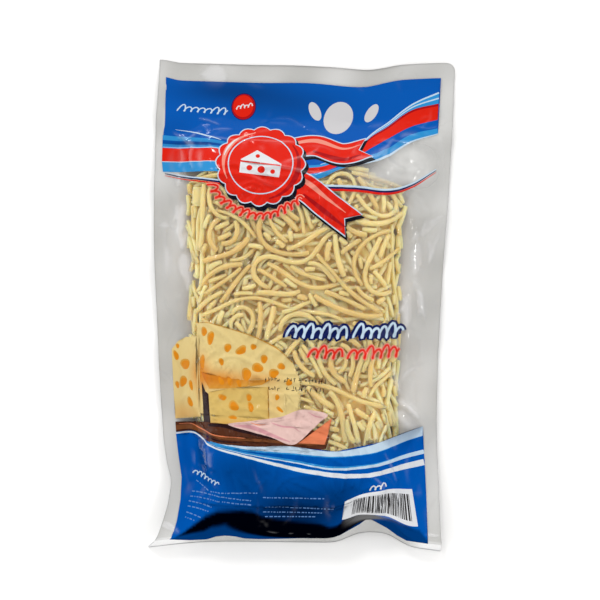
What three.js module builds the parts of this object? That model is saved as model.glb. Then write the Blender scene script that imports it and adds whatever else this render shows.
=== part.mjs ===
// A heat-sealed pouch of grated emmental, lying on its back with the printed front up.
// It was packed standing, so the shreds have slumped: the heap is thickest near the bottom seal.
// There the front film turns down and the bottom seal hangs as a flap whose edge meets the surface.
// Millimetres, +Z up. +X runs across the pouch and +Y from the bottom seal to the top seal.
import * as THREE from 'three';

// Driving dimensions
const FLAT_LENGTH = 268; // the film from edge to edge, laid flat
const SIDE_SEAL = 9.5;
const END_SEAL = 12.4;
const SEAL_THICKNESS = 0.6;

// The bottom flap and the turn above it, where the film goes over to the top of the heap
const BOTTOM_Y = -122.3;
const FLAP_TILT = THREE.MathUtils.degToRad(70);
const TURN_LENGTH = 22;
const FLAP_EDGE_Z = 0.6;

// One broad buckle lifts the flap right of the middle, and the flap's corners hang lower
const BUCKLE = { x: 40.2, halfWidth: 15, edgeUp: 6.8, foldUp: 10, rise: 3, reach: 62 };
const CORNER_DROP = { left: 4.7, right: 2.8 };

// [distance along the film from the bottom edge, x] of the two long edges
const LEFT_EDGE = [[0, -75.4], [12, -71.8], [24, -68.5], [36, -65.2], [44, -64.3], [54, -66.8],
  [66, -68.8], [123, -73.5], [182, -76.8], [225, -77], [268, -75.8]];
const RIGHT_EDGE = [[0, 75], [44, 73], [66, 71.7], [84, 71.1], [121, 71.4], [155, 72.6], [176, 73.6],
  [200, 74.8], [268, 76.3]];

// [share of the width, y] of the top edge, which waves a little
const TOP_EDGE = [[0, 124.6], [0.08, 123.1], [0.3, 122.9], [0.45, 123.2], [0.57, 122.8], [0.7, 121.8],
  [0.83, 125], [1, 126.3]];

// [distance along the film, height] of the film over the middle of the heap and along the side seals
const HEAP_TOP = [[34.4, 26.1], [62, 25.6], [102, 22.8], [143, 20], [183, 17], [205, 13.6],
  [224, 6.5], [238, 3], [268, 1.9]];
const SIDE_HEIGHT = [[12.4, 12.8], [30, 9.6], [52, 5.4], [80, 3.5], [143, 3], [205, 2.7], [268, 1.9]];
const HEAP_BASE = [[12.4, 12.4], [22, 7.2], [33, 2.4], [44, 0.3], [50, 0], [206, 0], [226, 0.5],
  [238, 1.4], [268, 1.3]];

// Where the front film leaves each side seal and where it reaches the top of the heap
const RISE_LEFT = { start: SIDE_SEAL, end: 31 };
const RISE_RIGHT = { start: 12.5, end: 38 };

// The loose lumps of the heap under the film: [height, wave along X, wave along Y, phase]
const LUMPS = [[0.7, 23, 31, 0.4], [0.5, -14, 19, 2.1], [0.35, 11, -13, 4.4]];
// Folds pressed into the front film: [x, y, half length, half width, turn in degrees, depth]
const DENTS = [[55, 70, 15, 4.6, 30, 1.7], [-50, -80, 15, 4.2, 84, 1.4], [47, -92, 13, 5, -62, 1.3],
  [-56, 58, 12, 4.4, -58, 1.2]];
// Ripples of the free film along the side seals: [height, wavelength]
const SEAL_RIPPLES = [[0.7, 47], [0.35, 21]];

// Mesh steps across the pouch and along each stretch of it
const COLUMNS = 34;
const ROWS = [[0, END_SEAL, 3], [END_SEAL, END_SEAL + TURN_LENGTH, 8],
  [END_SEAL + TURN_LENGTH, FLAT_LENGTH - END_SEAL, 48], [FLAT_LENGTH - END_SEAL, FLAT_LENGTH, 3]];

const { clamp, lerp, smootherstep, smoothstep } = THREE.MathUtils;

// A smooth curve through [place, value] stations, with level ends to its overshoot.
function through(stations, at) {
  const last = stations.length - 1;
  const x = clamp(at, stations[0][0], stations[last][0]);
  let i = 0;
  while (i < last - 1 && x > stations[i + 1][0]) i += 1;
  const slope = (k) => {
    if (k <= 0 || k >= last) return 0;
    const before = (stations[k][1] - stations[k - 1][1]) / (stations[k][0] - stations[k - 1][0]);
    const after = (stations[k + 1][1] - stations[k][1]) / (stations[k + 1][0] - stations[k][0]);
    return before * after <= 0 ? 0 : (2 * before * after) / (before + after);
  };
  const span = stations[i + 1][0] - stations[i][0];
  const t = (x - stations[i][0]) / span;
  return (2 * t ** 3 - 3 * t ** 2 + 1) * stations[i][1] + (t ** 3 - 2 * t ** 2 + t) * span * slope(i)
    + (3 * t ** 2 - 2 * t ** 3) * stations[i + 1][1] + (t ** 3 - t ** 2) * span * slope(i + 1);
}

// The slope of the middle of the front film: steep on the flap, level once over the turn.
function tiltAt(along) {
  return FLAP_TILT * (1 - smoothstep(along, END_SEAL, END_SEAL + TURN_LENGTH));
}

// How far the film has gone in plan and in height, from its bottom edge.
function travelled(along) {
  const steps = 200;
  const length = Math.min(along, END_SEAL + TURN_LENGTH);
  let plan = along - length;
  let height = 0;
  for (let i = 0; i < steps; i += 1) {
    const tilt = tiltAt(((i + 0.5) / steps) * length);
    plan += (Math.cos(tilt) * length) / steps;
    height += (Math.sin(tilt) * length) / steps;
  }
  return { plan, height };
}

function buckleAt(x) {
  return Math.exp(-(Math.abs((x - BUCKLE.x) / BUCKLE.halfWidth) ** 3));
}

function dentAt(x, y) {
  return DENTS.reduce((sum, [atX, atY, halfLength, halfWidth, turn, depth]) => {
    const angle = THREE.MathUtils.degToRad(turn);
    const lengthwise = (x - atX) * Math.cos(angle) + (y - atY) * Math.sin(angle);
    const across = (y - atY) * Math.cos(angle) - (x - atX) * Math.sin(angle);
    return sum + depth * Math.exp(-((lengthwise / halfLength) ** 2) - (across / halfWidth) ** 2);
  }, 0);
}

// The place in plan of a point of the film, by its share of the width and its distance along.
function planPoint(share, along) {
  const x = lerp(through(LEFT_EDGE, along), through(RIGHT_EDGE, along), share);
  const middleTop = BOTTOM_Y + travelled(FLAT_LENGTH).plan;
  const upwards = smoothstep(along, FLAT_LENGTH * 0.75, FLAT_LENGTH);
  const dropped = (CORNER_DROP.left * (1 - share) ** 6 + CORNER_DROP.right * share ** 6)
    * (1 - smoothstep(along, 0, 60));
  const onFlap = smoothstep(along, 0, END_SEAL);
  const lifted = lerp(BUCKLE.edgeUp, BUCKLE.foldUp, onFlap)
    * (1 - smoothstep(along, END_SEAL, BUCKLE.reach)) * buckleAt(x);
  const y = BOTTOM_Y + travelled(along).plan - dropped + lifted
    + (through(TOP_EDGE, share) - middleTop) * upwards;
  return { x, y };
}

// How far a point has risen from the side seals to the top of the heap: 0 to 1.
function riseAt(share, along) {
  const width = through(RIGHT_EDGE, along) - through(LEFT_EDGE, along);
  const fromLeft = smootherstep(share * width, RISE_LEFT.start, RISE_LEFT.end);
  const fromRight = smootherstep((1 - share) * width, RISE_RIGHT.start, RISE_RIGHT.end);
  return fromLeft * fromRight;
}

function sideHeight(share, along) {
  if (along <= END_SEAL) return FLAP_EDGE_Z + travelled(along).height;
  const fade = smoothstep(along, 40, 90) * (0.4 + 0.6 * (share < 0.5 ? 1 - share : share));
  const phase = share < 0.5 ? 0.7 : 2.9;
  const ripple = SEAL_RIPPLES.reduce((sum, [height, wave]) => (
    sum + height * Math.sin((2 * Math.PI * along) / wave + phase)), 0);
  return through(SIDE_HEIGHT, along) + ripple * fade;
}

function frontHeight(share, along) {
  const { x, y } = planPoint(share, along);
  const rim = sideHeight(share, along);
  const turn = END_SEAL + TURN_LENGTH;
  const middle = along <= turn
    ? FLAP_EDGE_Z + travelled(along).height : through(HEAP_TOP, along);
  const rise = riseAt(share, along);
  const overHeap = rise * smoothstep(along, turn, turn + 20)
    * (1 - smoothstep(along, 195, 225));
  const lump = LUMPS.reduce((sum, [height, waveX, waveY, phase]) => (
    sum + height * Math.sin(x / waveX + y / waveY + phase)), 0);
  const buckle = BUCKLE.rise * buckleAt(x) * (1 - smoothstep(along, END_SEAL, BUCKLE.reach));
  const dent = dentAt(x, y) * Math.max(rise, 0.25) * smoothstep(along, END_SEAL, turn);
  return rim + (middle - rim) * rise + lump * overHeap + buckle - dent;
}

// The back film is level under the heap, so that the pouch rests on it, and it rises to every seal.
function backHeight(share, along) {
  const front = frontHeight(share, along);
  const sealed = front - SEAL_THICKNESS * Math.cos(tiltAt(along));
  if (along <= END_SEAL) return sealed;
  const rim = sideHeight(share, along) - SEAL_THICKNESS;
  const base = lerp(rim, through(HEAP_BASE, along), riseAt(share, along));
  const buckle = BUCKLE.rise * buckleAt(planPoint(share, along).x)
    * (1 - smoothstep(along, END_SEAL, END_SEAL + 18));
  return Math.min(base + buckle, front - SEAL_THICKNESS * Math.max(Math.cos(tiltAt(along)), 0.1));
}

function frontPoint(share, along) {
  const { x, y } = planPoint(share, along);
  return [x, y, frontHeight(share, along)];
}

function backPoint(share, along) {
  const { x, y } = planPoint(share, along);
  return [x, y + SEAL_THICKNESS * Math.sin(tiltAt(along)), backHeight(share, along)];
}

// The two films as one closed solid: the front, the back, and the cut edge all round.
function pouchGeometry() {
  const places = [0];
  for (const [from, to, steps] of ROWS) {
    for (let i = 1; i <= steps; i += 1) places.push(lerp(from, to, i / steps));
  }
  const points = [];
  for (const side of [frontPoint, backPoint]) {
    for (const along of places) {
      for (let c = 0; c <= COLUMNS; c += 1) points.push(...side(c / COLUMNS, along));
    }
  }
  const wide = COLUMNS + 1;
  const last = places.length - 1;
  const front = (row, column) => row * wide + column;
  const back = (row, column) => (last + 1) * wide + row * wide + column;
  const faces = [];
  const quad = (a, b, c, d) => faces.push(a, b, c, a, c, d);
  for (let r = 0; r < last; r += 1) {
    for (let c = 0; c < COLUMNS; c += 1) {
      quad(front(r, c), front(r, c + 1), front(r + 1, c + 1), front(r + 1, c));
      quad(back(r, c), back(r + 1, c), back(r + 1, c + 1), back(r, c + 1));
    }
    quad(front(r, 0), front(r + 1, 0), back(r + 1, 0), back(r, 0));
    quad(front(r, COLUMNS), back(r, COLUMNS), back(r + 1, COLUMNS), front(r + 1, COLUMNS));
  }
  for (let c = 0; c < COLUMNS; c += 1) {
    quad(front(0, c), back(0, c), back(0, c + 1), front(0, c + 1));
    quad(front(last, c), front(last, c + 1), back(last, c + 1), back(last, c));
  }
  const geometry = new THREE.BufferGeometry();
  geometry.setAttribute('position', new THREE.Float32BufferAttribute(points, 3));
  geometry.setIndex(faces);
  geometry.computeVertexNormals();
  return geometry;
}

const film = new THREE.MeshStandardMaterial({ color: 0xe3d9ae, roughness: 0.25, metalness: 0 });
const bag = new THREE.Mesh(pouchGeometry(), film);
bag.name = 'bag';

const pouch = new THREE.Group();
pouch.add(bag);

export default pouch;
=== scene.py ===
import math

import bpy
import numpy as np
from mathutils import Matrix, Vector
from mathutils.bvhtree import BVHTree
from mathutils.geometry import delaunay_2d_cdt


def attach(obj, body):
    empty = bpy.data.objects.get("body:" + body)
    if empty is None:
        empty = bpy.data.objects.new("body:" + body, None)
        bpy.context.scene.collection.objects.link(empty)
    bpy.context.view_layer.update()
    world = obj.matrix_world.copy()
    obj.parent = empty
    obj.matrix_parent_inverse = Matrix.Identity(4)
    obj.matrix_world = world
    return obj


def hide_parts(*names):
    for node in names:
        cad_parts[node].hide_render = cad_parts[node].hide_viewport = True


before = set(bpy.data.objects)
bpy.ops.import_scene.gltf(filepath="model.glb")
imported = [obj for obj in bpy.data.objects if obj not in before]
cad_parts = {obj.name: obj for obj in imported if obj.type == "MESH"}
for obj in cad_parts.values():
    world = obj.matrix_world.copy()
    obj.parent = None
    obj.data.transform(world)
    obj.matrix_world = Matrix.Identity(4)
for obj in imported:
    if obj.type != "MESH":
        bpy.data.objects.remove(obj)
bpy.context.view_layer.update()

MM = 0.001


# ---------------------------------------------------------------------------------------------
# Studio. A pale matt floor and a soft surround that is bright at the sides and dim overhead, as
# a tent with the camera in its roof is: level film then shows its colours with no veil of light.
# Two lamps give the creases their glints.

class Shade:
    """A shader socket. Arithmetic on it adds Math nodes, and node() adds any other node."""

    def __init__(self, tree, socket=None):
        self.tree = tree
        self.socket = socket

    def node(self, kind, settings=None, inputs=None, output=0):
        made = self.tree.nodes.new("ShaderNode" + kind)
        for name, value in (settings or {}).items():
            setattr(made, name, value)
        for name, value in (inputs or {}).items():
            if isinstance(value, Shade):
                self.tree.links.new(value.socket, made.inputs[name])
            else:
                made.inputs[name].default_value = value
        return Shade(self.tree, made.outputs[output] if len(made.outputs) else None)

    def attribute(self, name):
        """A number that the mesh keeps for each of its points."""
        return self.node("Attribute", {"attribute_name": name}, output=2)

    def math(self, operation, first, second):
        return self.node("Math", {"operation": operation}, {0: first, 1: second})

    def mix(self, first, second, share):
        """Two colours mixed by a share."""
        return self.node("Mix", {"data_type": "RGBA"}, {0: share, 6: first, 7: second}, output=2)

    def step(self, low, high):
        """0 below low and 1 above high, with a soft step between."""
        ends = {"Value": self, "From Min": low, "From Max": high}
        return self.node("MapRange", {"interpolation_type": "SMOOTHSTEP"}, ends)

    def __add__(self, other):
        return self.math("ADD", self, other)

    __radd__ = __add__

    def __sub__(self, other):
        return self.math("SUBTRACT", self, other)

    def __rsub__(self, other):
        return self.math("SUBTRACT", other, self)

    def __mul__(self, other):
        return self.math("MULTIPLY", self, other)

    __rmul__ = __mul__


def finish(name, surface):
    """A material whose surface is the shader that surface(shade) makes."""
    material = bpy.data.materials.new(name)
    material.use_nodes = True
    material.node_tree.nodes.clear()
    shade = Shade(material.node_tree)
    shade.node("OutputMaterial", inputs={"Surface": surface(shade)})
    return material


def mesh_piece(name, points, faces, finishes, finish_of_face=None):
    """A smooth mesh object from points in millimetres."""
    mesh = bpy.data.meshes.new(name)
    mesh.from_pydata((np.asarray(points) * MM).tolist(), [], [list(map(int, f)) for f in faces])
    for material in finishes:
        mesh.materials.append(material)
    if finish_of_face is not None:
        mesh.polygons.foreach_set("material_index", np.asarray(finish_of_face, np.int32))
    mesh.polygons.foreach_set("use_smooth", np.ones(len(mesh.polygons), bool))
    mesh.update()
    piece = bpy.data.objects.new(name, mesh)
    bpy.context.scene.collection.objects.link(piece)
    return piece


def pale_floor(shade):
    grain = shade.node("TexNoise", inputs={"Scale": 90.0, "Detail": 3.0})
    rough = 0.5 + 0.2 * grain
    return shade.node("BsdfPrincipled", inputs={"Base Color": (0.96, 0.96, 0.96, 1), "Roughness": rough})


FLOOR_HALF = 9000
corners = [(-FLOOR_HALF, -FLOOR_HALF, 0), (FLOOR_HALF, -FLOOR_HALF, 0),
           (FLOOR_HALF, FLOOR_HALF, 0), (-FLOOR_HALF, FLOOR_HALF, 0)]
floor = mesh_piece("floor", corners, [(0, 1, 2, 3)], [finish("pale floor", pale_floor)])

# The tent's strength overhead, what its walls add, and where the roof meets them.
ROOF_STRENGTH = 0.52
WALL_EXTRA = 0.72
ROOF_RIM = (0.80, 0.92)
surround = bpy.data.worlds.new("tent")
surround.use_nodes = True
surround.node_tree.nodes.clear()
tent = Shade(surround.node_tree)
way = tent.node("TexCoord")
across_way = tent.node("SeparateXYZ", inputs={0: way}, output=0)
along_way = tent.node("SeparateXYZ", inputs={0: way}, output=1)
up_way = tent.node("SeparateXYZ", inputs={0: way}, output=2)
walls = 1 - up_way.step(*ROOF_RIM)
towards_top = 1.0 + 0.42 * along_way - 0.18 * across_way
strength = walls * towards_top * WALL_EXTRA + ROOF_STRENGTH
light = tent.node("Background", inputs={"Color": (1.0, 0.995, 0.985, 1), "Strength": strength})
tent.node("OutputWorld", inputs={"Surface": light})
bpy.context.scene.world = surround

# Lamps: (name, energy, turn about x, turn about y)
LAMP_ANGLE = 8.5
for name, energy, turn_x, turn_y in (("lamp", 0.55, -42, -20), ("side lamp", 0.25, 8, 40)):
    lamp = bpy.data.objects.new(name, bpy.data.lights.new(name, "SUN"))
    lamp.data.energy = energy
    lamp.data.angle = math.radians(LAMP_ANGLE)
    lamp.data.color = (1.0, 0.985, 0.96)
    lamp.rotation_euler = (math.radians(turn_x), math.radians(turn_y), 0)
    bpy.context.scene.collection.objects.link(lamp)

# The camera looks straight down on the front, in whose picture the pouch leans a little.
CAMERA_HEIGHT = 0.9
FRAME_HEIGHT = 0.002
FRAME_WIDTH = 0.309
LEAN = math.radians(1.43)
camera = bpy.data.objects.new("camera", bpy.data.cameras.new("camera"))
camera.data.lens = camera.data.sensor_width * (CAMERA_HEIGHT - FRAME_HEIGHT) / FRAME_WIDTH
camera.data.clip_end = 30
camera.location = (-0.0005, 0.0025, CAMERA_HEIGHT)
camera.rotation_euler = (0, 0, LEAN)
bpy.context.scene.collection.objects.link(camera)
bpy.context.scene.camera = camera
bpy.context.scene.view_settings.view_transform = "Standard"


# ---------------------------------------------------------------------------------------------
# The pouch's form. Two films of clear plastic, 150 mm by 268 mm, are welded to each other round
# their edge. The pouch lies on its back, and its bottom seal is turned down like a flap.
# Places on the film are (across, along): millimetres from its left edge and from its bottom edge.

FILM_WIDTH = 150
FILM_LENGTH = 268
END_SEAL = 12.4
SIDE_SEAL = 9.5
BOTTOM_Y = -122.3
FLAP_TILT = math.radians(70)
TURN = 22
FLAP_EDGE_Z = 0.6
LEFT_EDGE = [(0, -75.4), (12, -71.8), (24, -68.5), (36, -65.2), (44, -64.3), (54, -66.8),
             (66, -68.8), (123, -73.5), (182, -76.8), (225, -77), (268, -75.8)]
RIGHT_EDGE = [(0, 75), (44, 73), (66, 71.7), (84, 71.1), (121, 71.4), (155, 72.6), (176, 73.6),
              (200, 74.8), (268, 76.3)]
TOP_EDGE = [(0, 124.6), (0.08, 123.1), (0.3, 122.9), (0.45, 123.2), (0.57, 122.8), (0.7, 121.8),
            (0.83, 125), (1, 126.3)]
HEAP_TOP = [(34.4, 26.1), (62, 25.6), (102, 22.8), (143, 20), (183, 17), (205, 13.6),
            (224, 6.5), (238, 3), (268, 1.9)]
SIDE_HEIGHT = [(12.4, 12.8), (30, 9.6), (52, 5.4), (80, 3.5), (143, 3), (205, 2.7), (268, 1.9)]
HEAP_BASE = [(12.4, 12.4), (22, 7.2), (33, 2.4), (44, 0.3), (50, 0), (206, 0), (226, 0.5),
             (238, 1.4), (268, 1.3)]
LUMPS = [(0.7, 23, 31, 0.4), (0.5, -14, 19, 2.1), (0.35, 11, -13, 4.4)]
DENTS = [(55, 70, 15, 4.6, 30, 1.7), (-50, -80, 15, 4.2, 84, 1.4), (47, -92, 13, 5, -62, 1.3),
         (-56, 58, 12, 4.4, -58, 1.2)]
SEAL_RIPPLES = [(0.7, 47), (0.35, 21)]
RISE_FROM_LEFT = (SIDE_SEAL, 31)
RISE_FROM_RIGHT = (12.5, 38)
BUCKLE_X = 40.2
BUCKLE_HALF_WIDTH = 15
BUCKLE_EDGE_LIFT = 6.8
BUCKLE_FOLD_LIFT = 3.2
BUCKLE_RISE = 3
BUCKLE_REACH = 62
BUCKLE_BACK_REACH = 18
LEFT_CORNER_DROP = 4.7
RIGHT_CORNER_DROP = 2.8
CORNER_REACH = 60


def soft_step(value, low, high):
    t = np.clip((value - low) / (high - low), 0, 1)
    return t * t * (3 - 2 * t)


def softer_step(value, low, high):
    t = np.clip((value - low) / (high - low), 0, 1)
    return t ** 3 * (t * (6 * t - 15) + 10)


def through(stations, at):
    """A smooth curve through (place, value) stations, with no overshoot."""
    place = np.array([s[0] for s in stations], float)
    value = np.array([s[1] for s in stations], float)
    rate = np.diff(value) / np.diff(place)
    slope = np.zeros(len(place))
    same_way = rate[:-1] * rate[1:] > 0
    total = np.where(same_way, rate[:-1] + rate[1:], 1)
    slope[1:-1] = np.where(same_way, 2 * rate[:-1] * rate[1:] / total, 0)
    at = np.clip(at, place[0], place[-1])
    i = np.clip(np.searchsorted(place, at) - 1, 0, len(place) - 2)
    span = place[i + 1] - place[i]
    t = (at - place[i]) / span
    return ((2 * t ** 3 - 3 * t ** 2 + 1) * value[i] + (t ** 3 - 2 * t ** 2 + t) * span * slope[i]
            + (3 * t ** 2 - 2 * t ** 3) * value[i + 1] + (t ** 3 - t ** 2) * span * slope[i + 1])


turn_end = END_SEAL + TURN
turn_steps = np.linspace(0, turn_end, 2001)
step_length = turn_steps[1]
step_tilt = FLAP_TILT * (1 - soft_step((turn_steps[1:] + turn_steps[:-1]) / 2, END_SEAL, turn_end))
turn_plan = np.concatenate([[0], np.cumsum(np.cos(step_tilt)) * step_length])
turn_height = np.concatenate([[0], np.cumsum(np.sin(step_tilt)) * step_length])


def plan_run(along):
    return np.interp(along, turn_steps, turn_plan) + np.maximum(along - turn_end, 0)


def turn_rise(along):
    return FLAP_EDGE_Z + np.interp(along, turn_steps, turn_height)


def buckle(x):
    return np.exp(-np.abs((x - BUCKLE_X) / BUCKLE_HALF_WIDTH) ** 3)


def plan_place(across, along):
    """X and Y of places on the film."""
    share = across / FILM_WIDTH
    x = through(LEFT_EDGE, along) * (1 - share) + through(RIGHT_EDGE, along) * share
    on_flap = soft_step(along, 0, END_SEAL)
    corner_drop = LEFT_CORNER_DROP * (1 - share) ** 6 + RIGHT_CORNER_DROP * share ** 6
    dropped = corner_drop * (1 - soft_step(along, 0, CORNER_REACH))
    fold = BUCKLE_EDGE_LIFT + BUCKLE_FOLD_LIFT * on_flap
    lifted = fold * (1 - soft_step(along, END_SEAL, BUCKLE_REACH)) * buckle(x)
    upwards = soft_step(along, 0.75 * FILM_LENGTH, FILM_LENGTH)
    top = (through(TOP_EDGE, share) - BOTTOM_Y - plan_run(FILM_LENGTH)) * upwards
    y = BOTTOM_Y + plan_run(along) - dropped + lifted + top
    return x, y


def heap_share(across, along):
    """How far the film has risen from the side seals to the top of the heap, from 0 to 1."""
    width = through(RIGHT_EDGE, along) - through(LEFT_EDGE, along)
    from_left = across / FILM_WIDTH * width
    return softer_step(from_left, *RISE_FROM_LEFT) * softer_step(width - from_left, *RISE_FROM_RIGHT)


def side_height(across, along):
    share = across / FILM_WIDTH
    fade = soft_step(along, 40, 90) * (0.4 + 0.6 * np.where(share < 0.5, 1 - share, share))
    phase = np.where(share < 0.5, 0.7, 2.9)
    ripple = sum(high * np.sin(2 * math.pi * along / long + phase) for high, long in SEAL_RIPPLES)
    return np.where(along <= END_SEAL, turn_rise(along), through(SIDE_HEIGHT, along) + ripple * fade)


def dent_depth(x, y):
    total = 0
    for at_x, at_y, half_length, half_width, turned, depth in DENTS:
        angle = math.radians(turned)
        lengthwise = (x - at_x) * math.cos(angle) + (y - at_y) * math.sin(angle)
        sideways = (y - at_y) * math.cos(angle) - (x - at_x) * math.sin(angle)
        total = total + depth * np.exp(-(lengthwise / half_length) ** 2 - (sideways / half_width) ** 2)
    return total


def front_form(across, along):
    """The front film before its fine creases, as an array of points."""
    across, along = np.broadcast_arrays(np.asarray(across, float), np.asarray(along, float))
    x, y = plan_place(across, along)
    rim = side_height(across, along)
    rise = heap_share(across, along)
    middle = np.where(along <= turn_end, turn_rise(along), through(HEAP_TOP, along))
    over_heap = rise * soft_step(along, turn_end, turn_end + 20) * (1 - soft_step(along, 195, 225))
    lump = sum(high * np.sin(x / wave_x + y / wave_y + phase) for high, wave_x, wave_y, phase in LUMPS)
    lifted = BUCKLE_RISE * buckle(x) * (1 - soft_step(along, END_SEAL, BUCKLE_REACH))
    dent = dent_depth(x, y) * np.maximum(rise, 0.25) * soft_step(along, END_SEAL, turn_end)
    z = rim + (middle - rim) * rise + lump * over_heap + lifted - dent
    return np.stack([x, y, z], axis=-1)


def across_the_film(form, across, along, reach=0.4):
    """Unit normals of a form, which point out of the front."""
    aside = form(across + reach, along) - form(across - reach, along)
    ahead = form(across, along + reach) - form(across, along - reach)
    normal = np.cross(aside, ahead)
    return normal / np.linalg.norm(normal, axis=-1, keepdims=True)


FILM_GAP = 0.3


def back_form(across, along):
    """The back film: level under the heap, and close behind the front film in the seals."""
    across, along = np.broadcast_arrays(np.asarray(across, float), np.asarray(along, float))
    front = front_form(across, along)
    close = front - FILM_GAP * across_the_film(front_form, across, along)
    rise = heap_share(across, along)
    rim = side_height(across, along) - FILM_GAP
    x, y = plan_place(across, along)
    base = rim + (through(HEAP_BASE, along) - rim) * rise
    base = base + BUCKLE_RISE * buckle(x) * (1 - soft_step(along, END_SEAL, END_SEAL + BUCKLE_BACK_REACH))
    base = np.minimum(base, close[..., 2])
    opened = soft_step(along, END_SEAL, END_SEAL + 4)[..., None]
    free = np.stack([x, y, base], axis=-1)
    return close * (1 - opened) + free * opened


# ---------------------------------------------------------------------------------------------
# The heap. Shreds of cheese 2 to 3 mm thick fill the pouch between the films. Only the outer
# layers can be seen, so one lumpy core of pressed cheese carries them.

def cheese(shade, low, high):
    """Matt, slightly waxy cheese, paler where its tone is higher: tone differs at random, and deeper
    strands get more as painted light in the gaps.
    """
    place = shade.node("TexCoord", output=3)
    cloud = shade.node("TexNoise", inputs={"Vector": place, "Scale": 95.0, "Detail": 3.0})
    pores = shade.node("TexNoise", inputs={"Vector": place, "Scale": 900.0, "Detail": 4.0})
    share = (0.65 * shade.attribute("tone") + 0.6 * cloud - 0.12).step(0.05, 0.95)
    bump = shade.node("Bump", inputs={"Strength": 0.35, "Distance": 0.0004, "Height": pores})
    return shade.node("BsdfPrincipled", inputs={
        "Base Color": shade.mix(low, high, share), "Roughness": 0.42 + 0.25 * pores,
        "Subsurface Weight": 0.9, "Subsurface Radius": (0.9, 0.66, 0.34),
        "Subsurface Scale": 0.008, "Normal": bump})


# The studio's light makes a level matt surface this much brighter than its own colour.
STUDIO_GAIN = 1.24


def colour(red, green, blue):
    """The colour that shows as these 0 to 255 screen values in the studio's light."""
    part = np.array([red, green, blue]) / 255
    linear = np.where(part <= 0.04045, part / 12.92, ((part + 0.055) / 1.055) ** 2.4)
    return (*(linear / STUDIO_GAIN), 1)


def cheese_finish(name, low, high):
    return finish(name, lambda shade: cheese(shade, low, high))


# The shreds' high colour and the core's colours are given raw, paler than colour() gives: painted light for
# the deep strands and the core in the gaps.
shred_finish = cheese_finish("grated cheese", colour(234, 192, 118), (1.0, 0.745, 0.34, 1))
core_finish = cheese_finish("pressed cheese", (0.98, 0.7, 0.25, 1), (1.0, 0.74, 0.28, 1))

# Maps of the heap on a plan grid: the front film's height, the back film's, and where shreds lie.
CELL = 0.5
HALF_X = 80
HALF_Y = 132
grid_x = np.arange(-HALF_X, HALF_X + CELL, CELL)
grid_y = np.arange(-HALF_Y, HALF_Y + CELL, CELL)


def sheet_tree(form, spacing=2.5):
    """A form as a coarse mesh that rays can be cast on."""
    across = np.linspace(0, FILM_WIDTH, int(FILM_WIDTH / spacing) + 1)
    along = np.linspace(0, FILM_LENGTH, int(FILM_LENGTH / spacing) + 1)
    wide = len(across)
    points = form(across[None, :], along[:, None]).reshape(-1, 3)
    faces = [(r * wide + c, r * wide + c + 1, (r + 1) * wide + c + 1, (r + 1) * wide + c)
             for r in range(len(along) - 1) for c in range(wide - 1)]
    return BVHTree.FromPolygons([Vector(p) for p in points.tolist()], faces)


def heights(form, from_above):
    """The form's height over every second cell, filled in between; nan outside it."""
    tree = sheet_tree(form)
    start = 100 if from_above else -100
    down = Vector((0, 0, -1 if from_above else 1))
    found = np.full((len(grid_y[::2]), len(grid_x[::2])), np.nan)
    for row, y in enumerate(grid_y[::2]):
        for column, x in enumerate(grid_x[::2]):
            hit = tree.ray_cast(Vector((x, y, start)), down)[0]
            if hit is not None:
                found[row, column] = hit.z
    full = np.empty((len(grid_y), len(grid_x)))
    full[::2, ::2] = found
    full[1::2, ::2] = (found[1:] + found[:-1]) / 2
    full[:, 1::2] = (full[:, 2::2] + full[:, :-1:2]) / 2
    return full


ceiling = heights(front_form, True)
bottom = heights(back_form, False)

# [y, x of the heap's left side, x of its right side]
HEAP_SIDES = [(-113, -52, 60), (-90, -56, 58), (-40, -58, 53), (0, -57, 50), (30, -58.5, 51.5),
              (55, -62, 53), (72, -62, 53)]
HEAP_LOW_Y = -104
THINNEST_HEAP = 4.2
HEAP_TOP_EDGE = [(-62, 64), (-45, 70), (-20, 73), (0, 70), (25, 72), (40, 66), (53, 62)]
side_y = np.array([s[0] for s in HEAP_SIDES])
left_side = np.interp(grid_y, side_y, [s[1] for s in HEAP_SIDES])
right_side = np.interp(grid_y, side_y, [s[2] for s in HEAP_SIDES])
top_side = through(HEAP_TOP_EDGE, grid_x)
waver = 0.8 * np.sin(grid_y / 9.0) + 0.4 * np.sin(grid_y / 3.1 + 1)
in_heap = ((grid_x[None, :] > (left_side + waver)[:, None])
           & (grid_x[None, :] < (right_side - np.roll(waver, 31))[:, None])
           & (grid_y[:, None] < top_side[None, :]) & (grid_y[:, None] > HEAP_LOW_Y))
in_heap &= np.nan_to_num(ceiling - bottom) > THINNEST_HEAP
ceiling = np.nan_to_num(ceiling)
bottom = np.nan_to_num(bottom)


def blurred(grid, radius):
    """A grid smoothed by three passes of a running mean."""
    reach = max(1, int(round(radius / CELL)))
    window = np.ones(2 * reach + 1) / (2 * reach + 1)

    def smoothed(line):
        return np.convolve(np.pad(line, reach, "edge"), window, "valid")

    for axis in (0, 1):
        for _ in range(3):
            grid = np.apply_along_axis(smoothed, axis, grid)
    return grid


def inside_by(mask, distance):
    """The part of a mask that is at least about this far inside it."""
    return blurred(mask.astype(float), distance * 0.6) > 0.94


# The core lies this far under the film: as a rule, and at the least.
COVER = 5.2
LEAST_COVER = 3.4
CORE_GROUND_GAP = 0.3
rng = np.random.default_rng(207)
core_zone = inside_by(in_heap, 5)
core_share = blurred(core_zone.astype(float), 2.0)
lumps = blurred(rng.normal(size=in_heap.shape), 1.4) * 9 + blurred(rng.normal(size=in_heap.shape), 3) * 16
risen = (ceiling - COVER - bottom) * core_share ** 0.7 + lumps * core_share
core_top = bottom + np.maximum(risen, 0.2)
core_top = np.minimum(core_top, ceiling - LEAST_COVER)

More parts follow.
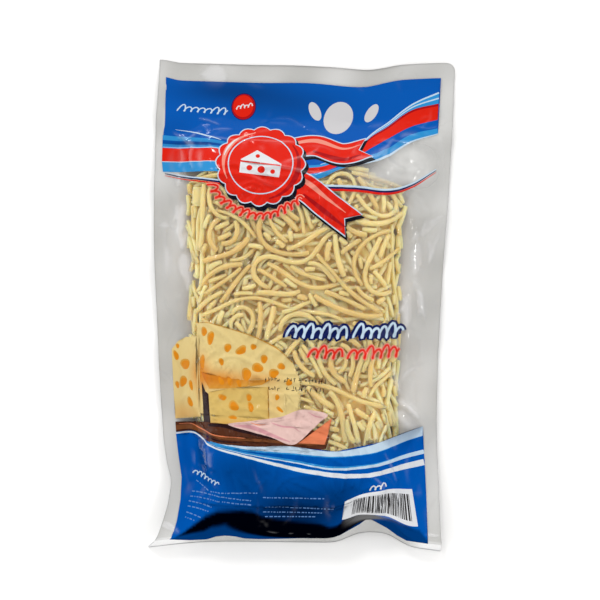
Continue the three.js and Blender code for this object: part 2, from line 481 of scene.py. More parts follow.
CORE_STEP = 3
rows, columns = np.nonzero(core_zone[::CORE_STEP, ::CORE_STEP])
cell_index = -np.ones(core_zone[::CORE_STEP, ::CORE_STEP].shape, int)
cell_index[rows, columns] = np.arange(len(rows))
at = (rows * CORE_STEP, columns * CORE_STEP)
core_points = np.stack([grid_x[at[1]], grid_y[at[0]], core_top[at]], axis=1)
core_under = np.stack([grid_x[at[1]], grid_y[at[0]], bottom[at] + CORE_GROUND_GAP], axis=1)
whole = ((cell_index[:-1, :-1] >= 0) & (cell_index[1:, :-1] >= 0)
         & (cell_index[:-1, 1:] >= 0) & (cell_index[1:, 1:] >= 0))
r, c = np.nonzero(whole)
quads = np.stack([cell_index[r, c], cell_index[r, c + 1],
                  cell_index[r + 1, c + 1], cell_index[r + 1, c]], axis=1)
count = len(rows)
quad_edges = {}
for quad in quads.tolist():
    for start, end in zip(quad, quad[1:] + quad[:1]):
        quad_edges[(start, end)] = True
rim_edges = [edge for edge in quad_edges if (edge[1], edge[0]) not in quad_edges]
core_faces = quads.tolist() + [[i + count for i in reversed(quad)] for quad in quads.tolist()]
core_faces += [[end, start, start + count, end + count] for start, end in rim_edges]
used = np.unique(np.concatenate([np.ravel(face) for face in core_faces]))
renumber = -np.ones(2 * count, int)
renumber[used] = np.arange(len(used))
core_faces = [[renumber[i] for i in face] for face in core_faces]
core_skin = np.concatenate([core_points, core_under])[used]


def keep_on_points(piece, name, values):
    """Keeps a number for each point of a piece, which its finish reads."""
    kept = piece.data.attributes.new(name, "FLOAT", "POINT")
    kept.data.foreach_set("value", np.asarray(values, np.float32))


CORE_TONE = 0.3
core = mesh_piece("cheese_core", core_skin, core_faces, [core_finish])
keep_on_points(core, "tone", np.full(len(core_skin), CORE_TONE))
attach(core, "root")


# ---------------------------------------------------------------------------------------------
# The shreds. Each is cut by a grating disc: a soft strand 2 to 3 mm thick with blunt ends, that
# curls as it falls. They are laid one by one on the core and on each other, up to the film.

STRAND_STEP = 2.4
STRAND_SIDES = 7
FILM_CLEARANCE = 0.3
# Shares of a strand's radius: how high its middle comes to rest, and how high it counts as heaped.
REST_SHARE = 0.75
CROWN_SHARE = 1.12
# Slopes of the film between which a strand may no longer stand above the plain film.
STEEP = (0.6, 1.6)
SQUEEZE = 0.9
RADIUS = (0.95, 1.32)
FLATNESS = (1.0, 1.22)
FLAKE_SHARE = 0.06
FLAKE_RADIUS = 0.9
FLAKE_HALF_WIDTH = (2.6, 3.6)
LENGTH_WORTH = 0.05
TONE_SPREAD = 0.45
heap_height = np.maximum(core_top, bottom + 0.2)
heap_height[~in_heap] = bottom[~in_heap]
fall_down, fall_right = np.gradient(blurred(ceiling, 1.5), CELL)
steepness = np.minimum(np.hypot(fall_down, fall_right), 3)


def grid_at(grid, x, y):
    column = np.clip(np.round((x + HALF_X) / CELL).astype(int), 0, len(grid_x) - 1)
    row = np.clip(np.round((y + HALF_Y) / CELL).astype(int), 0, len(grid_y) - 1)
    return grid[row, column]


def strand_plan(length, bends, heading, middle):
    """The points in plan of a strand whose bend is a sum of waves along it."""
    count = max(3, int(round(length / STRAND_STEP)))
    t = np.linspace(0, 1, count + 1)
    bend = sum(size * np.cos(math.pi * turns * t + phase) for size, turns, phase in bends)
    angle = heading + np.concatenate([[0], np.cumsum(bend[1:] * length / count)])
    steps = np.stack([np.cos(angle), np.sin(angle)], axis=1) * length / count
    line = np.cumsum(steps, axis=0)
    return line - line.mean(axis=0) + middle


def settle(line, radius, headroom, fewest):
    """The longest run of a strand that has room, with its heights at rest; or None."""
    under = np.stack([grid_at(heap_height, line[:, 0] + dx, line[:, 1] + dy)
                      for dx, dy in ((0, 0), (0.8, 0), (-0.8, 0), (0, 0.8), (0, -0.8))]).max(axis=0)
    rest = under + REST_SHARE * radius
    steep = grid_at(steepness, line[:, 0], line[:, 1])
    roof = grid_at(ceiling, line[:, 0], line[:, 1]) + headroom * (1 - soft_step(steep, *STEEP))
    roof -= radius * np.sqrt(1 + steep ** 2)
    fits = grid_at(in_heap, line[:, 0], line[:, 1]) & (rest - roof < SQUEEZE)
    breaks = np.concatenate([[-1], np.nonzero(~fits)[0], [len(fits)]])
    widest = np.argmax(np.diff(breaks))
    first, last = breaks[widest] + 1, breaks[widest + 1]
    if last - first < fewest:
        return None
    line, rest, roof = line[first:last], rest[first:last], roof[first:last]
    z = rest.copy()
    for _ in range(6):
        padded = np.pad(z, 1, "edge")
        z = np.maximum(0.25 * padded[:-2] + 0.5 * z + 0.25 * padded[2:], rest)
    for _ in range(2):
        padded = np.pad(z, 1, "edge")
        z = 0.25 * padded[:-2] + 0.5 * z + 0.25 * padded[2:]
    return line, np.minimum(z, roof)


def press_down(line, z, radius, half_width):
    """Raises the heap's map under a strand that has come to rest."""
    reach = int(half_width / CELL) + 1
    close = np.arange(0, len(z) - 0.9, 1 / 3)
    dense = [np.interp(close, np.arange(len(z)), values) for values in (line[:, 0], line[:, 1], z)]
    for x, y, top in zip(*dense):
        column = int(round((x + HALF_X) / CELL))
        row = int(round((y + HALF_Y) / CELL))
        block = (slice(row - reach, row + reach + 1), slice(column - reach, column + reach + 1))
        away = ((grid_x[None, block[1]] - x) ** 2 + (grid_y[block[0], None] - y) ** 2) / half_width ** 2
        crown = top + CROWN_SHARE * radius * np.sqrt(np.clip(1 - away, 0, 1))
        heap_height[block] = np.where(away < 1, np.maximum(heap_height[block], crown), heap_height[block])


def strand_tube(line, z, radius, half_width, seed):
    """Points and faces of one strand: an uneven tube with blunt closed ends."""
    own = np.random.default_rng(seed)
    centre = np.column_stack([line, z])
    ahead = np.gradient(centre, axis=0)
    ahead /= np.linalg.norm(ahead, axis=1, keepdims=True)
    aside = np.cross(ahead, (0, 0, 1.0))
    aside /= np.linalg.norm(aside, axis=1, keepdims=True)
    up = np.cross(aside, ahead)
    count = len(centre)
    t = np.arange(count)
    thick = 1 + 0.07 * np.sin(t * own.uniform(0.4, 0.9) + own.uniform(0, 6)) + 0.03 * own.normal(size=count)
    thick[0] *= 0.9
    thick[-1] *= 0.86
    angle = 2 * math.pi * (np.arange(STRAND_SIDES) / STRAND_SIDES) + own.uniform(0, 1)
    uneven = 1 + 0.06 * own.normal(size=STRAND_SIDES)
    ring_side = (np.cos(angle) * uneven)[None, :, None] * aside[:, None, :] * half_width
    ring_up = (np.sin(angle) * uneven)[None, :, None] * up[:, None, :] * radius
    rings = centre[:, None, :] + (ring_side + ring_up) * thick[:, None, None]
    ends = np.stack([centre[0] - ahead[0] * 0.25 * radius, centre[-1] + ahead[-1] * 0.25 * radius])
    points = np.concatenate([rings.reshape(-1, 3), ends])
    faces = []
    for ring in range(count - 1):
        for side in range(STRAND_SIDES):
            after = (side + 1) % STRAND_SIDES
            low, high = ring * STRAND_SIDES, (ring + 1) * STRAND_SIDES
            faces.append((low + side, low + after, high + after, high + side))
    first, last = count * STRAND_SIDES, count * STRAND_SIDES + 1
    for side in range(STRAND_SIDES):
        after = (side + 1) % STRAND_SIDES
        faces.append((first, after, side))
        faces.append((last, (count - 1) * STRAND_SIDES + side, (count - 1) * STRAND_SIDES + after))
    return points, faces


# kind: (shortest, longest, strongest even bend, strongest wavy bend)
KINDS = {"shreds_long": (60, 130, 1 / 60, 1 / 22), "shreds_curled": (30, 80, 1 / 10, 1 / 10),
         "shreds_short": (8, 26, 1 / 18, 1 / 16)}
# Layers: (strands tried, how far they may stand above the plain film, fewest steps of one that may show,
# least tone, which deeper layers get higher as painted light in the gaps, share of each kind)
LAYERS = [(170, -2.6, 4, 0.8, (0.4, 0.3, 0.3)), (215, -1.1, 5, 0.6, (0.4, 0.32, 0.28)),
          (230, 0.9, 8, 0.05, (0.45, 0.45, 0.1)), (150, 0.8, 3, 0.25, (0, 0.25, 0.75))]
TRIES = 16
made = {kind: ([], [], []) for kind in KINDS}
spots = np.argwhere(in_heap)
soft_edge = blurred(in_heap.astype(float), 7)
edge_down, edge_right = np.gradient(soft_edge)
edge_pull = np.hypot(edge_down, edge_right)
edge_way = np.arctan2(edge_down, edge_right) + math.pi / 2


def drop_strand(kind, headroom, fewest, painted_layer_lift):
    """Tries a strand in the lowest places and lays it where it fits best."""
    shortest, longest, even, wavy = KINDS[kind]
    radius = rng.uniform(*RADIUS)
    half_width = radius * rng.uniform(*FLATNESS)
    if kind == "shreds_short" and rng.uniform() < FLAKE_SHARE:
        radius, half_width = FLAKE_RADIUS, rng.uniform(*FLAKE_HALF_WIDTH)
    best = None
    for _ in range(TRIES):
        trial = spots[rng.integers(len(spots), size=10)]
        room = ceiling[trial[:, 0], trial[:, 1]] - heap_height[trial[:, 0], trial[:, 1]]
        row, column = trial[np.argmax(room)]
        length = rng.uniform(shortest, longest)
        pull = min(1, edge_pull[row, column] / 0.03)
        heading = edge_way[row, column] + (1 - pull) * rng.uniform(-1.6, 1.6) + rng.normal() * 0.2
        freedom = 1 - 0.7 * pull
        bends = [(freedom * rng.choice([-1, 1]) * even * rng.uniform(0, 1) ** 0.7, 0, 0),
                 (freedom * wavy * rng.uniform(-1, 1), length / 45, rng.uniform(0, 6)),
                 (freedom * wavy * rng.uniform(-1, 1), length / 24, rng.uniform(0, 6))]
        line = strand_plan(length, bends, heading, (grid_x[column], grid_y[row]))
        settled = settle(line, radius, headroom, fewest)
        if settled is None:
            continue
        line, z = settled
        depth_of_line = (grid_at(ceiling, line[:, 0], line[:, 1]) - z).mean()
        score = depth_of_line + LENGTH_WORTH * len(z) * STRAND_STEP + rng.normal()
        if best is None or score > best[0]:
            best = (score, line, z)
    if best is None:
        return
    _, line, z = best
    press_down(line, z, radius, half_width)
    points, faces = strand_tube(line, z, radius, half_width, rng.integers(1 << 30))
    base = sum(len(p) for p in made[kind][0])
    made[kind][0].append(points)
    made[kind][1].extend(tuple(i + base for i in face) for face in faces)
    made[kind][2].append(np.full(len(points), painted_layer_lift + rng.uniform(0, TONE_SPREAD)))


for count, headroom, fewest, painted_layer_lift, shares in LAYERS:
    for _ in range(count):
        drop_strand(rng.choice(list(KINDS), p=shares), headroom, fewest, painted_layer_lift)
shred_pieces = []
for kind, (points, faces, tones) in made.items():
    shreds = mesh_piece(kind, np.concatenate(points), faces, [shred_finish])
    keep_on_points(shreds, "tone", np.concatenate(tones))
    shred_pieces.append(shreds)
    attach(shreds, "root")


# ---------------------------------------------------------------------------------------------
# The film. Both webs and their print are one thin skin: clear where nothing is printed, printed
# on the inside of the front, pearly pale grey on the back. It is laid over the heap and creased.

# The film sinks a little where the shreds leave room under it.
needed = np.where(in_heap, heap_height + FILM_CLEARANCE - ceiling, -9)
sag_map = -0.5 * blurred(np.where(in_heap, ceiling - heap_height, 0), 2.6)
for _ in range(3):
    sag_map = np.maximum(blurred(np.maximum(sag_map, needed), 0.5), needed)


def map_at(grid, x, y):
    """A map of the heap between its cells."""
    column = np.clip((x + HALF_X) / CELL, 0, len(grid_x) - 1.001)
    row = np.clip((y + HALF_Y) / CELL, 0, len(grid_y) - 1.001)
    c, r = column.astype(int), row.astype(int)
    u, v = column - c, row - r
    return ((grid[r, c] * (1 - u) + grid[r, c + 1] * u) * (1 - v)
            + (grid[r + 1, c] * (1 - u) + grid[r + 1, c + 1] * u) * v)


def smooth_line(points, closed=False, step=1.0):
    """A smooth line through points."""
    p = np.array(points, float)
    if closed:
        p = np.concatenate([p[-1:], p, p[:2]])
    else:
        p = np.concatenate([2 * p[:1] - p[1:2], p, 2 * p[-1:] - p[-2:-1]])
    line = []
    for a, b, c, d in zip(p[:-3], p[1:-2], p[2:-1], p[3:]):
        parts = max(2, int(round(np.linalg.norm(c - b) / step)))
        t = (np.arange(parts) / parts)[:, None]
        line.append(0.5 * (2 * b + (c - a) * t + (2 * a - 5 * b + 4 * c - d) * t ** 2
                           + (3 * b - a - 3 * c + d) * t ** 3))
    if not closed:
        line.append(p[-2:-1])
    return np.concatenate(line)


# Creases are built this much higher and wider than the list says.
CREASE_HEIGHTEN = 1.5
CREASE_WIDEN = 1.6
# The creases that show most: (points, height, half width). A minus height is a valley.
CREASES = [([(21, 235.2), (26.8, 233.7), (33, 231)], 0.40, 0.55),
           ([(28, 228), (34, 228.6), (40, 228.8)], 0.25, 0.5),
           ([(8, 226.5), (14.5, 222.5), (17.4, 219.5), (19.3, 214.5)], 0.55, 0.6),
           ([(19.6, 219.5), (18.2, 213.3), (18.3, 208.9), (19.8, 203.5)], 0.50, 0.6),
           ([(23.5, 227.5), (18, 223), (14.5, 220)], 0.40, 0.55),
           ([(24, 216), (23, 210), (24, 204)], -0.45, 0.9),
           ([(12, 219), (13, 212), (12.5, 205)], -0.35, 0.9),
           ([(26, 222), (29, 216), (34, 212)], 0.25, 0.6),
           ([(23, 223.3), (34.9, 222.1), (47, 219.7)], 0.28, 0.5),
           ([(36, 222.4), (50.6, 221.6), (62.4, 221), (83, 221)], 0.26, 0.5),
           ([(47, 209.6), (64, 206.3), (83.9, 203.6), (103, 208.8)], 0.36, 0.55),
           ([(65, 208.5), (77.6, 213.4), (83.5, 219)], 0.40, 0.55),
           ([(98, 211.6), (106.3, 212.2), (112.3, 212.8), (115.2, 215.8), (121, 226)], 0.50, 0.7),
           ([(115.4, 219.5), (117, 212.5), (122, 207.2), (130, 206.2), (138, 208.5)], 0.95, 1.5),
           ([(119.5, 219), (121, 213), (126, 210), (134, 210)], -0.6, 1.8),
           ([(119, 223.5), (124, 222.6), (130.5, 222.2)], 0.4, 0.55),
           ([(123, 226), (129, 228), (136, 227)], -0.35, 0.9),
           ([(21, 68), (21.4, 58.6), (20.2, 49)], -0.7, 0.9),
           ([(24.5, 66), (24.6, 57), (23.6, 49)], 0.4, 0.8),
           ([(-0.5, 26.7), (6.3, 22.7), (11.5, 17.6)], 0.7, 0.7), ([(-0.5, 24.6), (7.5, 21.8)], 0.4, 0.5),
           ([(119.5, 63.8), (123, 55.6), (126.6, 42.5)], 0.28, 0.5),
           ([(111.5, 50.4), (115.1, 46.5), (119, 40.8)], 0.25, 0.5),
           ([(141.5, 20.6), (150, 21)], 0.5, 0.6), ([(57, 20.6), (61, 19.8), (64, 19.4)], 0.2, 0.4),
           ([(69, 18.9), (70.5, 18.8), (72, 18.6)], 0.2, 0.35), ([(79, 18.3), (81, 18)], 0.2, 0.35),
           ([(134, 150), (139, 141), (138.5, 130)], 0.5, 1.1),
           ([(130, 144), (133, 136), (132, 124)], -0.45, 1.6),
           ([(138, 178), (136, 160), (138, 140)], -0.3, 1.6),
           ([(128, 89), (135, 84), (142, 78)], 0.6, 1.2), ([(126, 84), (133, 79), (141, 72)], -0.5, 1.8),
           ([(17, 190), (14, 176), (15, 160)], 0.4, 1.2), ([(13, 168), (17, 150), (15, 136)], -0.35, 1.5),
           ([(5, 185), (6.5, 160), (5, 140)], 0.3, 1.6),
           ([(96, 27), (103, 24), (111, 20), (122, 24), (134, 30)], -0.7, 2.2),
           ([(22, 266), (35, 258)], 0.5, 3.0)]

# Zones of small random creases: [count, across, along, heading, spread of it, length, height]
CREASE_ZONES = [
    (34, (4, 20), (75, 205), 90, 40, (8, 26), 0.28),
    (52, (124, 144), (75, 215), 90, 40, (8, 28), 0.32),
    (26, (6, 50), (203, 236), 10, 60, (7, 24), 0.2),
    (22, (90, 142), (203, 236), 20, 60, (7, 26), 0.22),
    (14, (40, 100), (206, 236), 0, 25, (10, 34), 0.16),
    (22, (5, 145), (14, 40), 80, 45, (7, 22), 0.22),
    (14, (4, 24), (20, 70), 70, 40, (8, 24), 0.2),
    (14, (124, 145), (20, 72), 100, 40, (8, 24), 0.2),
    (12, (10, 140), (258, 267), 10, 70, (6, 18), 0.2),
]
crease_rng = np.random.default_rng(58)
creases = [(smooth_line(points), CREASE_HEIGHTEN * height, CREASE_WIDEN * width)
           for points, height, width in CREASES]
for count, across_range, along_range, heading, spread, length_range, height in CREASE_ZONES:
    for _ in range(count):
        start = np.array([crease_rng.uniform(*across_range), crease_rng.uniform(*along_range)])
        angle = math.radians(heading + crease_rng.uniform(-spread, spread))
        length = crease_rng.uniform(*length_range)
        bend = crease_rng.uniform(-0.9, 0.9)
        middle = start + 0.5 * length * np.array([math.cos(angle), math.sin(angle)])
        end = middle + 0.5 * length * np.array([math.cos(angle + bend), math.sin(angle + bend)])
        rise = height * crease_rng.uniform(0.35, 1.3) * crease_rng.choice([-1, 1])
        creases.append((smooth_line([start, middle, end], step=1.5), rise, crease_rng.uniform(0.6, 1.9)))


def crease_height(across, along):
    """How far the creases lift the film at places on it."""
    flat_across, flat_along = np.ravel(across), np.ravel(along)
    total = np.zeros(flat_across.shape)
    for line, height, width in creases:
        reach = 5 * width
        low, high = line.min(axis=0) - reach, line.max(axis=0) + reach
        near = np.nonzero((flat_across > low[0]) & (flat_across < high[0])
                          & (flat_along > low[1]) & (flat_along < high[1]))[0]
        if not len(near):
            continue
        place = np.stack([flat_across[near], flat_along[near]], axis=1)
        start, run = line[:-1], np.diff(line, axis=0)
        squared = (run ** 2).sum(axis=1)
        part = np.clip(((place[:, None] - start) * run).sum(axis=2) / squared, 0, 1)
        away = np.linalg.norm(place[:, None] - start - part[:, :, None] * run, axis=2)
        closest = away.argmin(axis=1)
        distance = away[np.arange(len(near)), closest]
        share = (closest + part[np.arange(len(near)), closest]) / len(run)
        taper = np.sin(math.pi * np.clip(share, 0, 1)) ** 0.8
        total[near] += height * taper / np.cosh(1.5 * distance / width)
    return total.reshape(np.shape(across))


# Faint wandering unevenness of the free film: [height, wave across, wave along, phase]
WANDER = [(0.2, 7.3, 19, 0.2), (0.16, -11, 9.5, 1.9), (0.08, 4.6, -6.8, 3.7), (0.05, 3.3, 5.1, 5.2)]


def creased(form, is_front):
    """A form with its creases, and over the heap with its sag."""
    def placed(across, along):
        across, along = np.broadcast_arrays(np.asarray(across, float), np.asarray(along, float))
        points = form(across, along)
        plain = points[..., 2].copy()
        seal = np.minimum(np.minimum(across, FILM_WIDTH - across) / SIDE_SEAL,
                          np.minimum(along, FILM_LENGTH - along) / END_SEAL)
        free = soft_step(seal, 0.75, 1.25)
        swing = 1.3 * np.sin(across / 17 + along / 23)
        wander = sum(high * np.sin(across / wave_a + along / wave_b + phase + swing)
                     for high, wave_a, wave_b, phase in WANDER)
        lift = wander * (0.5 + 0.5 * free)
        lift = lift + crease_height(across, along) * (0.25 + 0.75 * free)
        if not is_front:
            lift = lift * (1 - free * heap_share(across, along))
        normal = across_the_film(front_form, across, along)
        points = points + lift[..., None] * normal
        if is_front:
            x, y = points[..., 0], points[..., 1]
            sunk = points[..., 2] + map_at(sag_map, x, y) * free
            points[..., 2] = np.maximum(sunk, plain + map_at(needed, x, y))
        return points
    return placed


front_skin = creased(front_form, True)
back_skin = creased(back_form, False)


def film_waves(shade):
    """The faint waves of the film's face, as a noise and as a bump."""
    place = shade.node("TexCoord", output=3)
    wavy = shade.node("TexNoise", inputs={"Vector": place, "Scale": 260.0, "Detail": 2.0})
    return wavy, shade.node("Bump", inputs={"Strength": 0.12, "Distance": 0.0003, "Height": wavy})


def clear_film(shade):
    """Gloss film with hardly any colour of its own; its creases are painted paler and more opaque, as a
    painted highlight.
    """
    wavy, bump = film_waves(shade)
    gleam = shade.attribute("gleam")
    return shade.node("BsdfPrincipled", inputs={
        "Base Color": shade.mix((0.3, 0.29, 0.25, 1), (0.9, 0.9, 0.92, 1), gleam),
        "Roughness": 0.04 + 0.06 * wavy, "Alpha": 0.07 + 0.22 * gleam,
        "IOR": 1.9, "Specular IOR Level": 1.0, "Normal": bump})


def painted_sheen(shade):
    """A painted sheen: pale, part-clear film that stands in for light reflected by slack film, stronger
    where its veil share is.
    """
    place = shade.node("TexCoord", output=3)
    cloud = shade.node("TexNoise", inputs={"Vector": place, "Scale": 120.0, "Detail": 2.0})
    veil = shade.attribute("veil")
    return shade.node("BsdfPrincipled", inputs={
        "Base Color": colour(232, 232, 230), "Roughness": 0.1 + 0.1 * cloud,
        "Alpha": 0.07 + veil * (0.7 + 0.5 * cloud), "Specular IOR Level": 0.6})


def ink(name, base, deep=None, rough=0.06, alpha=1.0, gloss=0.08):
    """Ink behind gloss film. Where the film's depth share is high, it goes from its base colour to the deep
    one: the footer's painted shade, darker spots in the header, a paler back with painted light and shade,
    and the cheese picture's own printed shading.
    """
    def surface(shade):
        wavy, bump = film_waves(shade)
        shown = shade.mix(base, deep, shade.attribute("depth")) if deep else base
        return shade.node("BsdfPrincipled", inputs={
            "Base Color": shown, "Roughness": rough + 0.08 * wavy, "Alpha": alpha,
            "Specular IOR Level": gloss, "Coat Weight": shade.attribute("gleam"),
            "Coat Roughness": 0.06, "Coat IOR": 1.8, "Normal": bump})
    return finish(name, surface)


INKS = {
    "clear film": finish("clear film", clear_film),
    "pearl back": ink("pearl back", colour(200, 200, 198), (0.97, 0.97, 0.98, 1), 0.3),
    "veil": finish("veil of light", painted_sheen),
    # The blues' deep colours, near black, carry the painted shade.
    "blue": ink("blue ink", colour(2, 88, 180), colour(1, 2, 12)),
    "footer blue": ink("footer blue ink", colour(2, 88, 180), colour(0, 1, 9), gloss=0.0),
    "mist": ink("mist ink", colour(206, 205, 208)),
    "sky": ink("sky ink", colour(46, 146, 212), colour(4, 60, 140)),
    "pale": ink("pale ink", colour(196, 218, 236)),
    "faded": ink("faded ink", colour(96, 138, 196), gloss=0.03),
    "white": ink("white ink", colour(226, 228, 232)),
    "red": ink("red ink", colour(224, 34, 16)),
    "deep red": ink("deep red ink", colour(172, 14, 20)),
    "rose": ink("rose ink", colour(240, 148, 130)),
    "navy": ink("navy ink", colour(6, 22, 84)),
    "night": ink("night ink", colour(2, 4, 22), gloss=0.1),
    "black": ink("black ink", colour(24, 20, 24)),
    "cheese": ink("cheese ink", colour(232, 208, 142), colour(222, 138, 30), alpha=0.95),
    "slab": ink("slab ink", colour(216, 184, 106), colour(216, 140, 40)),
    "rind": ink("rind ink", colour(214, 158, 66), colour(206, 116, 20)),
    "hole": ink("hole ink", colour(222, 138, 24)),
    "board": ink("board ink", colour(120, 70, 38)),
    "plank": ink("plank ink", colour(84, 44, 26)),
    "shadow": ink("shadow ink", colour(40, 18, 22)),
    "cloth": ink("cloth ink", colour(232, 196, 188)),
    "fold": ink("fold ink", colour(218, 160, 166)),
    "salmon": ink("salmon ink", colour(232, 132, 90)),
}
ink_names = list(INKS)

# Spots where the colour goes to its deep one: painted shade across the footer with a painted crease shadow
# at the left, darker spots in the header, and the cheese picture's own printed shading: [across, along,
# reach across, reach along, depth]
DEPTHS = [(34, 254, 26, 8, 0.42), (64, 246, 30, 10, 0.3), (20, 219, 20, 1.8, 0.5), (70, 30, 34, 16, 0.85),
          (40, 52, 18, 10, 0.35), (96, 42, 14, 9, 0.25), (20, 57, 2.4, 12, 0.35), (23, 100, 5, 8, 0.95),
          (34, 98, 9, 4.5, 0.8), (52, 98.5, 11, 3, 0.55), (12, 79, 9, 5, 0.35), (62, 88, 4, 12, 0.2),
          (42, 76, 16, 2, 0.4)]
# Where the bottom seal turns down, the print is painted dark as painted shade of the pouch's underside: the
# dark band's edges as [across, along].
NIGHT_TOP = [(0, 5), (8, 10.5), (12.3, 16.9), (16.6, 22.6), (22.7, 28.5), (28.6, 31.3), (41.9, 32.4),
             (48, 31.7), (53.2, 29.7), (63.1, 28.3), (74, 27.2), (84.8, 26.3), (90.4, 24.1), (94.5, 24.4),
             (98, 26.3), (109.4, 20.8), (119.6, 18), (126, 20.5), (132, 22.5), (139, 22.4), (144, 14)]
NIGHT_LOW = [(0, 12), (20.4, 18.4), (24.4, 19.9), (27.5, 23), (34.6, 24.7), (41.2, 20.7), (49.3, 16.2),
             (57.7, 12.6), (76.3, 9.2), (97, 10), (110, 12.5), (118, 17), (130, 22), (144, 24)]
NIGHT_SOFTNESS = [(0, 3.4), (24, 4.2), (46, 3.2), (60, 5.5), (75, 6.5), (90, 4.5), (98, 2.2), (150, 2.2)]


def on_stations(stations, at):
    return np.interp(at, [s[0] for s in stations], [s[1] for s in stations])


def hills(spots, across, along):
    """The sum of soft round spots, each highest in its middle."""
    total = 0
    for at_a, at_b, reach_a, reach_b, high in spots:
        total = total + high * np.exp(-((across - at_a) / reach_a) ** 2 - ((along - at_b) / reach_b) ** 2)
    return total


def painted_shade_and_print_depth(across, along):
    """How far the colour goes to its deep one, from 0 to 1: the painted dark band where the bottom seal
    turns down, and the spots above.
    """
    top = on_stations(NIGHT_TOP, across)
    low = on_stations(NIGHT_LOW, across)
    soft = on_stations(NIGHT_SOFTNESS, across)
    night = 1 - soft_step(along, top - 0.25 * soft, top + 0.75 * soft)
    night = night * (0.55 + 0.45 * soft_step(along, low - 2, low + 2))
    return np.clip(np.maximum(hills(DEPTHS, across, along), night), 0, 1)


def back_pale_corners_and_painted_light(across, along):
    """The back film is brightest in the bottom corners, and elsewhere has faint painted patches of light
    and shade.
    """
    corner = (1 - soft_step(along, 8, 17)) * (1 - soft_step(across, 6, 34) + soft_step(across, 128, 146))
    uneven = 0.1 + 0.08 * np.sin(across / 8 + along / 29) + 0.08 * np.sin(along / 11 - across / 5 + 2)
    return np.clip(uneven + 1.3 * corner, 0, 1)


# Painted veils of light on the slack film beside the header: [across, along, reach across, reach along,
# share]
VEILS = [(130, 214, 12, 9, 0.75), (122, 205, 13, 7, 0.5), (136, 205, 9, 9, 0.5), (112, 202, 10, 6, 0.2)]


def veil_share(across, along):
    return np.clip(hills(VEILS, across, along), 0, 0.75)


# The print is a list of (ink, outline on the film): what comes later lies on top.
fields = []
PRINT_STEP = 1.2


def area(name, points, smooth=False):
    """A field of one ink inside an outline."""
    fields.append((name, smooth_line(points, True, PRINT_STEP) if smooth else np.array(points, float)))


def directions(line):
    """Unit steps ahead along a line, and to its left."""
    ahead = np.gradient(line, axis=0)
    ahead /= np.linalg.norm(ahead, axis=1, keepdims=True)
    return ahead, np.stack([-ahead[:, 1], ahead[:, 0]], axis=1)


def length_along(line):
    return np.concatenate([[0], np.cumsum(np.linalg.norm(np.diff(line, axis=0), axis=1))])


def stroke(name, points, widths, smooth=True, shift=(0, 0)):
    """A ribbon of ink along a line; widths are spread evenly along it."""
    line = smooth_line(points, step=PRINT_STEP) if smooth else np.array(points, float)
    line = line + np.array(shift)
    run = length_along(line)
    widths = np.atleast_1d(widths)
    widths = np.interp(run / run[-1], np.linspace(0, 1, len(widths)), widths)
    aside = directions(line)[1] * widths[:, None] / 2
    fields.append((name, np.concatenate([line + aside, (line - aside)[::-1]])))


def band(name, lower, upper):
    """A field between two lines that run from left to right."""
    fields.append((name, np.concatenate([smooth_line(lower), smooth_line(upper)[::-1]])))


def disc(name, centre, radius, tall=1.0, turned=0.0, sides=18, uneven=0.0):
    """A round or oval spot; an uneven one has a wavering edge."""
    angle = np.linspace(0, 2 * math.pi, sides, endpoint=False)
    waver = 1 + uneven * np.sin(2 * angle + centre[0]) + 0.7 * uneven * np.sin(3 * angle + centre[1])
    x, y = radius * waver * np.cos(angle), radius * tall * waver * np.sin(angle)
    turned = math.radians(turned)
    fields.append((name, np.stack([centre[0] + x * math.cos(turned) - y * math.sin(turned),
                                   centre[1] + x * math.sin(turned) + y * math.cos(turned)], axis=1)))


def loops(name, points, half_height, length, width, seed):
    """Ink in loops along a line, as a pen leaves, with a taller loop here and there."""
    line = smooth_line(points, step=0.3)
    ahead, aside = directions(line)
    run = length_along(line)
    turn = 2 * math.pi * run / length
    loop = np.floor(run / length).astype(int)
    taller = np.random.default_rng(seed).choice([1.0, 1.0, 1.3, 1.9], size=loop.max() + 1)[loop]
    rise = -np.cos(turn) * half_height
    rise = np.where(rise > 0, rise * taller, rise)
    drift = 0.3 * rise - 0.24 * length * np.sin(turn)
    stroke(name, line + aside * rise[:, None] + ahead * drift[:, None], width, smooth=False)


# A painted veil of light covers the film where it spans the hollow beside the header.
area("veil", [(92, 203), (109, 212), (128, 226), (143.4, 229), (147, 205), (144, 186), (122, 182),
              (100, 188)], True)

# Header: a deep blue field, and a red ribbon between sky-blue ones that dips in the middle.
HEADER_TOP = [(3.5, 258.9), (11.2, 258.4), (28.5, 258.4), (56.4, 258.3), (76.7, 258.7), (91.9, 258.2),
              (102.6, 258.5), (111.7, 259.5), (120.8, 259.9), (143.1, 260.2)]
HEADER_LOW = [(4.2, 202.8), (20, 202.8), (36, 202.6), (53, 200.4), (72, 199.4), (84, 200.6), (92, 204.6),
              (100.6, 208), (109.5, 210.4), (117, 213.5), (129, 222.8), (142.8, 228)]
band("blue", HEADER_LOW, HEADER_TOP)
# [across, along, half of the red, sky over it, blue under it]
RIBBON = [(3.6, 212.2, 4, 7.6, 0.2), (20, 212.2, 3.9, 6.8, 0.2), (36, 211.6, 3.7, 4.8, 0.2),
          (53, 207.6, 2.7, 3.4, 0.3), (72, 204.4, 1.7, 1.8, 0.3), (84, 205.2, 1.6, 1.4, 0.4),
          (92, 208.6, 1.7, 1.2, 0.8), (100.6, 214, 2.2, 1.2, 1.6), (109.5, 222.6, 3.8, 1.8, 4.6),
          (117, 228, 4, 2.6, 6.2), (129, 237, 5, 3.4, 4.8), (142.4, 241, 4.7, 6.4, 5.3)]
ribbon_top = [(a, b + half) for a, b, half, _, _ in RIBBON]
ribbon_low = [(a, b - half) for a, b, half, _, _ in RIBBON]
sky_low = [(a, b - half - under) for a, b, half, _, under in RIBBON]


def over_ribbon(share, first=0, last=None):
    """A line at a share of the sky over the ribbon."""
    return [(a, b + half + share * over) for a, b, half, over, _ in RIBBON[first:last]]


